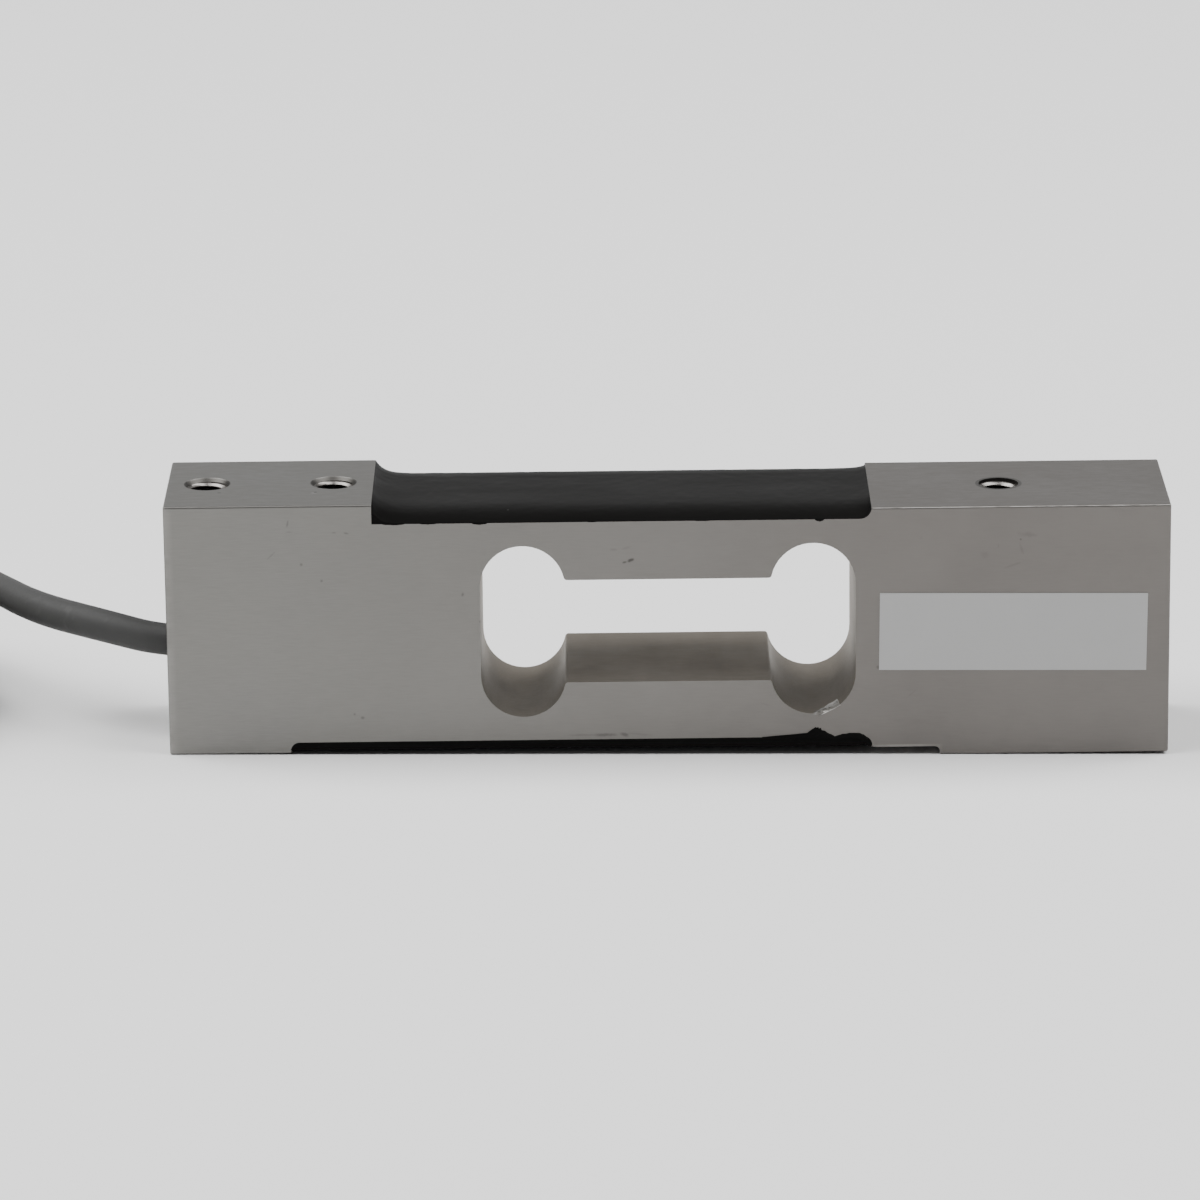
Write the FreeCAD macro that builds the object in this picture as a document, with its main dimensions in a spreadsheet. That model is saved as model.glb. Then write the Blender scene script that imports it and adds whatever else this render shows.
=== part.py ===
"""Single point load cell: a binocular bending beam with four foil gauges, a
bridge board, silicone potting in both recesses and a fixed signal cable.

Frame: X along the beam with the cable leaving at -X, Y across it (the labelled
face is at -Y), Z up.  The origin is on the underside of the load pad's level,
in the middle of the beam's length and width.  Millimetres.
"""
import FreeCAD, Part
import os
import math
import Sketcher

V = FreeCAD.Vector
doc = FreeCAD.newDocument("single_point_load_cell")

# ---------------------------------------------------------------- dimensions
DIMS = [
    # beam
    ("beam_length", 150.0), ("beam_width", 25.0), ("block_top", 38.7),
    ("pad_rise", 1.3), ("top_recess_floor", 37.0), ("bottom_recess_roof", 3.0),
    ("top_pad_length", 31.0), ("bottom_pad_length", 34.3),
    ("top_recess_right", 30.4), ("bottom_recess_left", 56.8),
    ("bottom_recess_right", 30.5), ("cutter_radius_top", 1.7),
    ("cutter_radius_bottom", 1.3), ("step_radius", 0.8), ("edge_break", 0.3),
    # binocular cut-out
    ("bore_radius", 6.35), ("bore_offset", 21.7), ("bore_centre_low", 13.0),
    ("bore_centre_high", 27.0), ("slot_low", 12.0), ("slot_high", 28.0),
    ("window_break", 0.5),
    # fixing holes
    ("fixing_bore", 6.0), ("fixing_sink", 7.0), ("fixing_depth", 18.0),
    ("fixing_inner", 50.0), ("fixing_outer", 69.0),
    # wiring passages
    ("cable_bore", 6.5), ("cable_height", 15.0), ("passage_bore", 5.0),
    ("passage_offset", 38.0),
    # gauges and boards
    ("gauge_length", 8.0), ("gauge_width", 5.0), ("gauge_thick", 0.12),
    ("solder_size", 0.7), ("solder_height", 0.45), ("gauge_wire_dia", 0.24),
    ("gauge_wire_rise", 0.28), ("gauge_wire_gap", 1.5),
    ("board_length", 18.0), ("board_width", 13.0), ("board_thick", 0.5),
    ("strip_length", 14.0), ("strip_width", 9.0),
    ("chip_length", 2.0), ("chip_width", 1.2), ("chip_height", 0.35),
    ("chip_offset", 5.0),
    # potting
    ("potting_rise", 1.1), ("potting_shoulder", 0.9), ("potting_under", 1.5),
    ("potting_under_edge", 0.4),
    # label
    ("label_length", 40.0), ("label_height", 12.0), ("label_thick", 0.1),
    ("label_centre_x", 51.6), ("label_centre_z", 19.2), ("label_turn", 0.68),
    # cable
    ("cable_dia", 5.0), ("cable_inset", 12.0), ("seal_depth", 6.0),
    ("core_dia", 0.6), ("cross_dia", 0.4),
    # put-away coil
    ("coil_x", 136.2), ("coil_y", 12.8), ("coil_inner", 20.0),
    ("coil_outer", 30.0), ("coil_height", 14.05), ("coil_rim", 1.0),
    ("coil_layer_top", 12.4), ("coil_radius_in", 27.5), ("coil_radius_out", 22.85),
    ("coil_wall_in", 24.8), ("coil_wall_out", 25.35), ("coil_notch_floor", 9.7),
    ("rest_tilt", 0.6437), ("rest_edge", 40.7),
    # stripped end
    ("sleeve_dia", 5.8), ("sleeve_length", 10.5), ("sleeve_over", 6.5),
    ("lead_dia", 1.2), ("tip_dia", 0.7),
]
sheet = doc.addObject("Spreadsheet::Sheet", "Dims")
for row, (alias, value) in enumerate(DIMS, start=1):
    sheet.set("A%d" % row, alias)
    sheet.set("B%d" % row, repr(value))
    sheet.setAlias("B%d" % row, alias)
doc.recompute()
TABLE = dict(DIMS)


class Dim(object):
    """A length with the spreadsheet expression that gives it."""

    def __init__(self, value, text):
        self.value = float(value)
        self.text = text

    @staticmethod
    def of(other):
        if isinstance(other, Dim):
            return other
        return Dim(other, repr(float(other)))

    def join(self, other, sign, value):
        return Dim(value, "(%s %s %s)" % (self.text, sign, other.text))

    def __add__(self, other):
        other = Dim.of(other)
        return self.join(other, "+", self.value + other.value)

    def __sub__(self, other):
        other = Dim.of(other)
        return self.join(other, "-", self.value - other.value)

    def __truediv__(self, other):
        other = Dim.of(other)
        return self.join(other, "/", self.value / other.value)

    def __mul__(self, other):
        other = Dim.of(other)
        return self.join(other, "*", self.value * other.value)

    def __neg__(self):
        return Dim(-self.value, "(0 - %s)" % self.text)


def D(alias):
    return Dim(TABLE[alias], "Dims." + alias)


HALF_L = D("beam_length") / 2
HALF_W = D("beam_width") / 2
PAD_TOP = D("block_top") + D("pad_rise")
parts = []                       # every sub-part, in the order it is written


def bind(obj, path, dim):
    obj.setExpression(path, Dim.of(dim).text)


def place(obj, x=None, y=None, z=None):
    """Bind the parts of an object's Placement to the sheet."""
    for axis, dim in (("x", x), ("y", y), ("z", z)):
        if dim is not None:
            bind(obj, "Placement.Base." + axis, dim)


# ------------------------------------------------------------ sketch helpers
def new_body(label):
    body = doc.addObject("PartDesign::Body", label)
    body.Label = label
    return body


def new_sketch(body, name, role, offset=None):
    """A sketch on one of the body's own origin planes, moved along its normal."""
    sk = body.newObject("Sketcher::SketchObject", name)
    plane = [f for f in body.Origin.OriginFeatures if f.Role == role][0]
    sk.AttachmentSupport = [(plane, "")]
    sk.MapMode = "FlatFace"
    if offset is not None:
        bind(sk, "AttachmentOffset.Base.z", offset)
    return sk


def pin(sk, geo, pos, x, y):
    """Fix one point of a sketch by its distances from the sketch's origin."""
    for kind, dim, axis in (("DistanceX", Dim.of(x), -2), ("DistanceY", Dim.of(y), -1)):
        if abs(dim.value) < 1e-9:
            sk.addConstraint(Sketcher.Constraint("PointOnObject", geo, pos, axis))
        elif dim.value > 0:
            n = sk.addConstraint(Sketcher.Constraint(kind, -1, 1, geo, pos, dim.value))
            sk.setExpression("Constraints[%d]" % n, dim.text)
        else:
            n = sk.addConstraint(Sketcher.Constraint(kind, geo, pos, -1, 1, -dim.value))
            sk.setExpression("Constraints[%d]" % n, (-dim).text)


def outline(sk, corners):
    """A closed outline.  corners: (x, y) or (x, y, radius, centre x, centre y),
    where the last three make the stretch that follows the corner a clockwise arc."""
    count = len(corners)
    spans = []
    for i, c in enumerate(corners):
        d = corners[(i + 1) % count]
        a = V(Dim.of(c[0]).value, Dim.of(c[1]).value, 0)
        b = V(Dim.of(d[0]).value, Dim.of(d[1]).value, 0)
        if len(c) == 2:
            spans.append((sk.addGeometry(Part.LineSegment(a, b)), 1, 2))
        else:
            centre = V(Dim.of(c[3]).value, Dim.of(c[4]).value, 0)
            circle = Part.Circle(centre, V(0, 0, 1), Dim.of(c[2]).value)
            a1 = math.atan2(a.y - centre.y, a.x - centre.x)
            b1 = math.atan2(b.y - centre.y, b.x - centre.x)
            geo = sk.addGeometry(Part.ArcOfCircle(circle, b1, a1 if a1 > b1 else a1 + 2 * math.pi))
            spans.append((geo, 2, 1))
            n = sk.addConstraint(Sketcher.Constraint("Radius", geo, Dim.of(c[2]).value))
            sk.setExpression("Constraints[%d]" % n, Dim.of(c[2]).text)
    for i in range(count):
        geo, first, last = spans[i]
        nxt, nfirst, nlast = spans[(i + 1) % count]
        sk.addConstraint(Sketcher.Constraint("Coincident", geo, last, nxt, nfirst))
        pin(sk, geo, first, corners[i][0], corners[i][1])


def rectangle(sk, x0, y0, x1, y1):
    outline(sk, [(x0, y0), (x1, y0), (x1, y1), (x0, y1)])


def circle(sk, x, y, diameter):
    geo = sk.addGeometry(Part.Circle(V(Dim.of(x).value, Dim.of(y).value, 0), V(0, 0, 1),
                                     Dim.of(diameter).value / 2))
    n = sk.addConstraint(Sketcher.Constraint("Diameter", geo, Dim.of(diameter).value))
    sk.setExpression("Constraints[%d]" % n, Dim.of(diameter).text)
    pin(sk, geo, 3, x, y)


def pad(body, name, sk, length, symmetric=False):
    f = body.newObject("PartDesign::Pad", name)
    f.Profile = sk
    f.SideType = "Symmetric" if symmetric else "One side"
    bind(f, "Length", length)
    sk.Visibility = False
    doc.recompute()
    return f


def pocket(body, name, sk, length=None, symmetric=False, reverse=False):
    """A pocket that is checked to have removed material."""
    before = body.Shape.Volume
    f = body.newObject("PartDesign::Pocket", name)
    f.Profile = sk
    f.SideType = "Symmetric" if symmetric else "One side"
    f.Reversed = reverse
    if length is None:
        f.Type = "ThroughAll"
    else:
        f.Type = "Length"
        bind(f, "Length", length)
    doc.recompute()
    if not body.Shape.Volume < before - 1e-3:
        raise RuntimeError("%s removed nothing" % name)
    return f


def edges_where(shape, test):
    names = []
    for i, e in enumerate(shape.Edges, start=1):
        if len(e.Vertexes) == 2 and test(e.Vertexes[0].Point, e.Vertexes[1].Point):
            names.append("Edge%d" % i)
    return names


def near(a, b):
    return abs(a - b) < 1e-6


def rounded(body, name, choose, radius):
    """A fillet on the chosen edges of the body as it stands."""
    base = body.Tip
    before = body.Shape.Volume
    f = body.newObject("PartDesign::Fillet", name)
    f.Base = (base, choose(base.Shape))
    bind(f, "Radius", radius)
    doc.recompute()
    if "Invalid" in f.State or not body.Shape.Volume < before:
        raise RuntimeError("%s rounded nothing" % name)
    return f


# --------------------------------------------------------------------- beam
beam = new_body("beam_body")
base = D("pad_rise")
roof = D("bottom_recess_roof")
left = D("bottom_recess_left")
right = D("bottom_recess_right")
rb = D("cutter_radius_bottom")
rt = D("cutter_radius_top")
pad_x = HALF_L - D("bottom_pad_length")
sr = D("step_radius")
sk = new_sketch(beam, "beam_side", "XZ_Plane")
outline(sk, [
    (-HALF_L, base),
    (-left, base),
    (-left, roof - rb, rb, rb - left, roof - rb),
    (rb - left, roof),
    (right - rb, roof, rb, right - rb, roof - rb),
    (right, roof - rb),
    (right, base),
    (pad_x - sr, base, sr, pad_x - sr, base - sr),
    (pad_x, base - sr),
    (pad_x, Dim.of(0)),
    (HALF_L, Dim.of(0)),
    (HALF_L, D("block_top")),
    (D("top_recess_right"), D("block_top"), rt, D("top_recess_right") - rt, D("block_top")),
    (D("top_recess_right") - rt, D("top_recess_floor")),
    (D("top_pad_length") - HALF_L, D("top_recess_floor")),
    (D("top_pad_length") - HALF_L, PAD_TOP),
    (-HALF_L, PAD_TOP),
])
pad(beam, "beam_blank", sk, D("beam_width"), symmetric=True)

# broken outer edges: the ends' upright edges and the long edges of the pads
L2, W2 = HALF_L.value, HALF_W.value


def outer(p, q):
    if not (near(abs(p.y), W2) and near(abs(q.y), W2)):
        # edges across the width, at the ends of the bar
        return near(p.z, q.z) and near(abs(p.x), L2) and near(abs(q.x), L2)
    if not near(p.y, q.y):
        return near(abs(p.x), L2) and near(p.z, q.z)
    if near(p.z, q.z):
        return near(p.z, PAD_TOP.value) or near(p.z, TABLE["block_top"]) or near(p.z, 0.0) \
            or (near(p.z, TABLE["pad_rise"]) and p.x < 0 and q.x < 0)
    return near(abs(p.x), L2) and near(p.x, q.x)


rounded(beam, "edge_break", lambda shape: edges_where(shape, outer), D("edge_break"))

# binocular cut-out: two upright slots with round ends, joined by a window
sk = new_sketch(beam, "bore_outline", "XZ_Plane")
bx, br = -D("bore_offset"), D("bore_radius")
zl, zh = D("bore_centre_low"), D("bore_centre_high")
arc_top = sk.addGeometry(Part.ArcOfCircle(Part.Circle(V(bx.value, zh.value, 0), V(0, 0, 1), br.value), 0, math.pi))
arc_low = sk.addGeometry(Part.ArcOfCircle(Part.Circle(V(bx.value, zl.value, 0), V(0, 0, 1), br.value), math.pi, 2 * math.pi))
side_l = sk.addGeometry(Part.LineSegment(V(bx.value - br.value, zh.value, 0), V(bx.value - br.value, zl.value, 0)))
side_r = sk.addGeometry(Part.LineSegment(V(bx.value + br.value, zl.value, 0), V(bx.value + br.value, zh.value, 0)))
sk.addConstraint(Sketcher.Constraint("Tangent", arc_top, 2, side_l, 1))
sk.addConstraint(Sketcher.Constraint("Tangent", side_l, 2, arc_low, 1))
sk.addConstraint(Sketcher.Constraint("Tangent", arc_low, 2, side_r, 1))
sk.addConstraint(Sketcher.Constraint("Tangent", side_r, 2, arc_top, 1))
n = sk.addConstraint(Sketcher.Constraint("Radius", arc_top, br.value))
sk.setExpression("Constraints[%d]" % n, br.text)
pin(sk, arc_top, 3, bx, zh)
n = sk.addConstraint(Sketcher.Constraint("DistanceY", -1, 1, arc_low, 3, zl.value))
sk.setExpression("Constraints[%d]" % n, zl.text)
bore_cut = pocket(beam, "bore_left", sk, D("beam_width") + 4, symmetric=True)
before = beam.Shape.Volume
mirror = beam.newObject("PartDesign::Mirrored", "bore_right")
mirror.Originals = [bore_cut]
mirror.MirrorPlane = ([f for f in beam.Origin.OriginFeatures if f.Role == "YZ_Plane"][0], [""])
beam.Tip = mirror
doc.recompute()
if not beam.Shape.Volume < before - 1:
    raise RuntimeError("the second bore removed nothing")
sk = new_sketch(beam, "window_outline", "XZ_Plane")
rectangle(sk, -D("bore_offset"), D("slot_low"), D("bore_offset"), D("slot_high"))
pocket(beam, "window", sk, D("beam_width") + 4, symmetric=True)

# the four deburred corners where the window runs into the slots
meet = D("bore_offset").value - math.sqrt(br.value ** 2 - (zl.value - D("slot_low").value) ** 2)


def window_corner(p, q):
    return near(p.x, q.x) and near(p.z, q.z) and not near(p.y, q.y) and abs(abs(p.x) - meet) < 1e-4


rounded(beam, "window_corner_break", lambda shape: edges_where(shape, window_corner), D("window_break"))


def fixing(name, xs, level, depth, down):
    """Metric 6 holes with a 90 degree countersink, from the pad's face inwards."""
    s = new_sketch(beam, name + "_centres", "XY_Plane", level)
    for x in xs:
        circle(s, x, Dim.of(0), D("fixing_bore"))
    doc.recompute()
    before = beam.Shape.Volume
    h = beam.newObject("PartDesign::Hole", name)
    h.Profile = s
    doc.recompute()
    h.ThreadType = "None"
    bind(h, "Diameter", D("fixing_bore"))
    h.HoleCutType = "Countersink"
    h.HoleCutCustomValues = True
    bind(h, "HoleCutDiameter", D("fixing_sink"))
    h.HoleCutCountersinkAngle = 90.0
    if depth is None:
        h.DepthType = "ThroughAll"
    else:
        h.DepthType = "Dimension"
        bind(h, "Depth", depth)
        h.DrillPoint = "Angled"
    h.Reversed = not down
    doc.recompute()
    if not beam.Shape.Volume < before - 100:
        raise RuntimeError("%s removed nothing" % name)


fixing("fixing_holes_top", [-D("fixing_outer"), -D("fixing_inner")], PAD_TOP, D("fixing_depth"), True)
fixing("fixing_hole_bottom", [D("fixing_outer")], Dim.of(0), D("fixing_depth"), False)
fixing("fixing_hole_through", [D("fixing_inner")], Dim.of(0), None, False)

# cable bore in from the end, and the upright wiring passage that it meets
sk = new_sketch(beam, "cable_bore_outline", "YZ_Plane", -HALF_L)
circle(sk, Dim.of(0), D("cable_height"), D("cable_bore"))
pocket(beam, "cable_bore", sk, HALF_L - D("passage_offset"), reverse=True)
sk = new_sketch(beam, "passage_outline", "XY_Plane", D("top_recess_floor"))
circle(sk, -D("passage_offset"), Dim.of(0), D("passage_bore"))
pocket(beam, "wiring_passage", sk, D("top_recess_floor") - D("bottom_recess_roof"))
parts.append(beam)

# ------------------------------------------------------------------- gauges
FLOOR = D("top_recess_floor")
ROOF = D("bottom_recess_roof")


def gauge(label, x, z, upper, towards):
    """A foil gauge on its carrier, with three solder dots on the end that faces
    the middle of the beam.  towards is +1 when that end is at its +X side."""
    body = new_body(label)
    s = new_sketch(body, label + "_carrier", "XY_Plane")
    gl, gw = D("gauge_length") / 2, D("gauge_width") / 2
    rectangle(s, -gl, -gw, gl, gw)
    pad(body, label + "_foil", s, D("gauge_thick"))
    s = new_sketch(body, label + "_dots", "XY_Plane")
    size = D("solder_size")
    for k in (-1, 0, 1):
        y = D("gauge_wire_gap") * k
        rectangle(s, gl - size, y - size / 2, gl, y + size / 2)
    pad(body, label + "_solder", s, D("solder_height"))
    turn = FreeCAD.Rotation(V(0, 0, 1), 0 if towards > 0 else 180)
    if not upper:
        turn = FreeCAD.Rotation(V(1, 0, 0), 180).multiply(turn)
    body.Placement = FreeCAD.Placement(V(0, 0, 0), turn)
    place(body, x=x, z=z)
    parts.append(body)
    return body


g_tl = gauge("gauge_top_left", -D("bore_offset"), FLOOR, True, 1)
g_tr = gauge("gauge_top_right", D("bore_offset"), FLOOR, True, -1)
g_bl = gauge("gauge_bottom_left", -D("bore_offset"), ROOF, False, 1)
g_br = gauge("gauge_bottom_right", D("bore_offset"), ROOF, False, -1)


def plate(label, length, width, thick, z):
    body = new_body(label)
    s = new_sketch(body, label + "_outline", "XY_Plane")
    rectangle(s, -length / 2, -width / 2, length / 2, width / 2)
    pad(body, label + "_plate", s, thick)
    place(body, z=z)
    parts.append(body)
    return body


board = plate("bridge_board", D("board_length"), D("board_width"), D("board_thick"), FLOOR)
strip = plate("terminal_board_bottom", D("strip_length"), D("strip_width"), D("board_thick"),
              ROOF - D("board_thick"))


def chip(label, x):
    box = doc.addObject("Part::Box", label)
    box.Label = label
    bind(box, "Length", D("chip_length"))
    bind(box, "Width", D("chip_width"))
    bind(box, "Height", D("chip_height"))
    place(box, x=x - D("chip_length") / 2, y=-(D("chip_width") / 2), z=FLOOR + D("board_thick"))
    parts.append(box)
    return box


zero_chip = chip("zero_trim_resistor", -D("chip_offset"))
span_chip = chip("span_trim_resistor", D("chip_offset"))


def gauge_wires(label, sign, z, half_board):
    """Three fine enamelled wires, from the gauge's solder dots to the board."""
    made = []
    start = D("bore_offset") - D("gauge_length") / 2
    for k in (-1, 0, 1):
        c = doc.addObject("Part::Cylinder", "%s_%d" % (label, k + 2))
        bind(c, "Radius", D("gauge_wire_dia") / 2)
        bind(c, "Height", start - half_board)
        c.Placement = FreeCAD.Placement(V(0, 0, 0), FreeCAD.Rotation(V(0, 1, 0), 90))
        place(c, x=half_board if sign > 0 else -start, y=D("gauge_wire_gap") * k, z=z)
        made.append(c)
    comp = doc.addObject("Part::Compound", label)
    comp.Label = label
    comp.Links = made
    parts.append(comp)
    return comp


half_b = D("board_length") / 2
half_s = D("strip_length") / 2
w_tl = gauge_wires("gauge_wires_top_left", -1, FLOOR + D("gauge_wire_rise"), half_b)
w_tr = gauge_wires("gauge_wires_top_right", 1, FLOOR + D("gauge_wire_rise"), half_b)
w_bl = gauge_wires("gauge_wires_bottom_left", -1, ROOF - D("gauge_wire_rise"), half_s)
w_br = gauge_wires("gauge_wires_bottom_right", 1, ROOF - D("gauge_wire_rise"), half_s)


# -------------------------------------------------------- wires and the cable
def path_of(points, largest=None):
    """Straight runs joined by tangent arcs: a wire, its length and its radii."""
    pts = [V(*p) for p in points]
    edges, radii, length = [], [], 0.0
    at = pts[0]
    for i in range(1, len(pts) - 1):
        a, b = pts[i] - pts[i - 1], pts[i + 1] - pts[i]
        la, lb = a.Length, b.Length
        ua, ub = V(a).normalize(), V(b).normalize()
        turn = math.acos(max(-1.0, min(1.0, ua.dot(ub))))
        reach = 0.45 * min(la, lb)
        radius = reach / math.tan(turn / 2)
        if largest is not None and radius > largest:
            radius = largest
            reach = radius * math.tan(turn / 2)
        radii.append(radius)
        p = pts[i] - ua * reach
        q = pts[i] + ub * reach
        inward = (ub - ua).normalize()
        centre = pts[i] + inward * (radius / math.cos(turn / 2))
        edges.append(Part.LineSegment(at, p).toShape())
        edges.append(Part.Arc(p, centre - inward * radius, q).toShape())
        length += (p - at).Length + radius * turn
        at = q
    edges.append(Part.LineSegment(at, pts[-1]).toShape())
    length += (pts[-1] - at).Length
    return Part.Wire(edges), length, radii


def swept(points, diameter, largest=None):
    wire, length, radii = path_of(points, largest)
    first = (V(*points[1]) - V(*points[0])).normalize()
    ring = Part.Wire([Part.Circle(V(*points[0]), first, diameter / 2).toShape()])
    solid = wire.makePipeShell([ring], True, False)
    if solid.Volume < 0:
        solid.reverse()
    want = math.pi * diameter ** 2 / 4 * length
    return solid, length, radii, want


def tube(label, points, diameter, largest=None, report=True):
    solid, length, radii, want = swept(points, diameter, largest)
    f = doc.addObject("Part::Feature", label)
    f.Label = label
    f.Shape = solid
    f.Placement = FreeCAD.Placement()
    if abs(solid.Volume - want) > 0.01 * want:
        raise RuntimeError("%s volume %.2f, wanted %.2f" % (label, solid.Volume, want))
    if report:
        print("%s length %.1f volume %.1f of %.1f smallest radius %s radii %s" % (
            label, length, solid.Volume, want,
            ("%.1f" % min(radii)) if radii else "-", ["%.0f" % r for r in radii]))
    parts.append(f)
    return f


S = sheet
floor_z = S.top_recess_floor
roof_z = S.bottom_recess_roof
px = -S.passage_offset
jacket_x = -(S.beam_length / 2) + S.cable_inset
core_names = ["core_red", "core_black", "core_green", "core_white"]
cores = []
for k, name in enumerate(core_names):
    y0 = -1.05 + 0.7 * k + 0.0
    y1 = -0.3 + 0.75 * k
    y2 = 3.1 + 0.8 * k
    z1 = floor_z + 0.15 + S.core_dia / 2
    cores.append(tube(name, [
        (jacket_x, y0, S.cable_height), (jacket_x + 7, y0, S.cable_height),
        (px - 8, y1, S.cable_height), (px, y1, S.cable_height), (px, y1, z1),
        (px + 3.4, y1, z1), (px + 9.5, y2, z1), (-S.board_length / 2, y2, z1)],
        S.core_dia, largest=0.9, report=False))
cross = []
for k, name in enumerate(["cross_wire_supply", "cross_wire_signal", "cross_wire_return"]):
    y1 = -0.95 - 0.5 * k
    y2 = -3.1 - 0.7 * k
    zb = roof_z - 0.15 - S.cross_dia / 2
    zt = floor_z + 0.15 + S.cross_dia / 2
    cross.append(tube(name, [
        (-S.strip_length / 2, y2, zb), (px + 9.5, y2, zb), (px + 3.4, y1, zb), (px, y1, zb),
        (px, y1, zt), (px + 3.4, y1, zt), (px + 9.5, y2, zt), (-S.board_length / 2, y2, zt)],
        S.cross_dia, largest=0.8, report=False))

# -- the cable: its route from inside the bore to the top of the put-away coil
cable_r = S.cable_dia / 2
slope = math.tan(math.radians(S.rest_tilt))


def rest_z(x):
    """Height of the surface that the beam's lower edges rest on."""
    return (S.rest_edge - x) * slope


coil_place = FreeCAD.Placement(V(-S.coil_x, S.coil_y, rest_z(-S.coil_x)),
                               FreeCAD.Rotation(V(0, 1, 0), S.rest_tilt))


def on_coil(radius, degrees, height, along=0.0):
    """A point in the coil's own frame, moved along the turn's direction."""
    a = math.radians(degrees)
    p = V(radius * math.cos(a) - along * math.sin(a),
          radius * math.sin(a) + along * math.cos(a), height)
    g = coil_place.multVec(p)
    return (round(g.x, 5), round(g.y, 5), round(g.z, 5))


# the cable drops in over the outer turns, up to 90 degrees round the coil, and
# the far end climbs from the inner turns, from 120 degrees on
ENTRY_FROM, ENTRY_TO, EXIT_FROM, EXIT_TO, EXIT_STEP = 18.0, 90.0, 120.0, 228.0, 20.0
half = S.beam_length / 2
lay = S.coil_layer_top
cable_route = [
    (-half + S.cable_inset, 0.0, S.cable_height),
    (-half, 0.0, S.cable_height),
    (-86.1, 4.3, 16.76),
    (-96.15, 11.5, 17.25),
    (-103.6, 21.5, 17.9),
    (-109.1, 30.4, 17.6),
    (-117.1, 36.9, 15.8),
    on_coil(S.coil_radius_in, ENTRY_TO, lay, -9.4),
    on_coil(S.coil_radius_in, ENTRY_TO, lay),
]
tail_route = [
    on_coil(S.coil_radius_out, EXIT_FROM, lay),
    on_coil(S.coil_radius_out, EXIT_FROM + EXIT_STEP, lay),
    on_coil(22.85, 160.0, 13.3),
    on_coil(22.85, 180.0, 14.7),
    on_coil(22.85, 200.0, 16.1),
    on_coil(23.3, 220.5, 16.85),
    on_coil(24.9, 243.0, 16.95),
    on_coil(26.5, 267.0, 17.05),
    on_coil(27.6, 291.0, 17.2),
]
for name, route in (("cable", cable_route), ("tail", tail_route)):
    print(name, "route", route)
    runs = [(V(*route[i + 1]) - V(*route[i])).Length for i in range(len(route) - 1)]
    print(name, "runs", ["%.1f" % r for r in runs])
cable = tube("cable", cable_route, S.cable_dia)
tail = tube("cable_tail", tail_route, S.cable_dia)

# coil: one closed ring with the outer shape of its turns, with a notch in the
# outer turns where the cable drops in and one in the inner turns where it leaves
coil = new_body("cable_coil")
sk = new_sketch(coil, "coil_section", "XZ_Plane")
ci, co, ch, cr = D("coil_inner"), D("coil_outer"), D("coil_height"), D("coil_rim")
outline(sk, [(ci, Dim.of(0)), (co, Dim.of(0)), (co, ch - cr), (co - cr, ch), (ci + cr, ch), (ci, ch - cr)])
rev = coil.newObject("PartDesign::Revolution", "coil_ring")
rev.Profile = sk
rev.ReferenceAxis = (sk, ["V_Axis"])
rev.Angle = 360.0
sk.Visibility = False
doc.recompute()


def polar(radius, degrees):
    a = math.radians(degrees)
    return (Dim.of(radius * math.cos(a)), Dim.of(radius * math.sin(a)))


def on_wall(p, slant, radius):
    """Where the line through p in the direction slant meets that radius."""
    a = math.radians(slant)
    dx, dy = math.cos(a), math.sin(a)
    along = p[0] * dx + p[1] * dy
    step = -along + math.sqrt(along ** 2 - (p[0] ** 2 + p[1] ** 2 - radius ** 2))
    return (p[0] + dx * step, p[1] + dy * step)


sk = new_sketch(coil, "coil_entry_outline", "XY_Plane", D("coil_notch_floor"))
wall = S.coil_wall_in
outline(sk, [
    (Dim.of(0), Dim.of(wall), D("coil_wall_in"), Dim.of(0), Dim.of(0)),
    polar(wall, ENTRY_FROM),
    polar(48.0, ENTRY_FROM),
    (Dim.of(0), Dim.of(48.0)),
])
pocket(coil, "coil_entry", sk, ch, reverse=True)
sk = new_sketch(coil, "coil_exit_outline", "XY_Plane", D("coil_notch_floor"))
wall = S.coil_wall_out
start = math.radians(EXIT_FROM)
start = (S.coil_radius_out * math.cos(start), S.coil_radius_out * math.sin(start))
slant = EXIT_FROM + EXIT_STEP / 2
corner = on_wall(start, slant, wall)
inner = math.radians(slant)
outline(sk, [
    (*polar(wall, EXIT_TO), D("coil_wall_out"), Dim.of(0), Dim.of(0)),
    (Dim.of(corner[0]), Dim.of(corner[1])),
    (Dim.of(start[0] - 8.0 * math.cos(inner)), Dim.of(start[1] - 8.0 * math.sin(inner))),
    polar(9.0, EXIT_TO),
])
pocket(coil, "coil_exit", sk, ch, reverse=True)
coil.Placement = FreeCAD.Placement(V(0, 0, 0), FreeCAD.Rotation(V(0, 1, 0), S.rest_tilt))
place(coil, x=-D("coil_x"), y=D("coil_y"))
coil.setExpression("Placement.Base.z", "(Dims.rest_edge + Dims.coil_x) * tan(Dims.rest_tilt * 1deg)")
coil.setExpression("Placement.Rotation.Angle", "Dims.rest_tilt * 1deg")
parts.append(coil)

# silicone seal around the jacket in the mouth of the bore
seal_blank = doc.addObject("Part::Cylinder", "seal_blank")
bind(seal_blank, "Radius", D("cable_bore") / 2)
bind(seal_blank, "Height", D("seal_depth"))
seal_blank.Placement = FreeCAD.Placement(V(0, 0, 0), FreeCAD.Rotation(V(0, 1, 0), 90))
place(seal_blank, x=-HALF_L, y=Dim.of(0), z=D("cable_height"))
seal = doc.addObject("Part::Cut", "cable_seal")
seal.Label = "cable_seal"
seal.Base = seal_blank
seal.Tool = cable
parts.append(seal)

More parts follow.
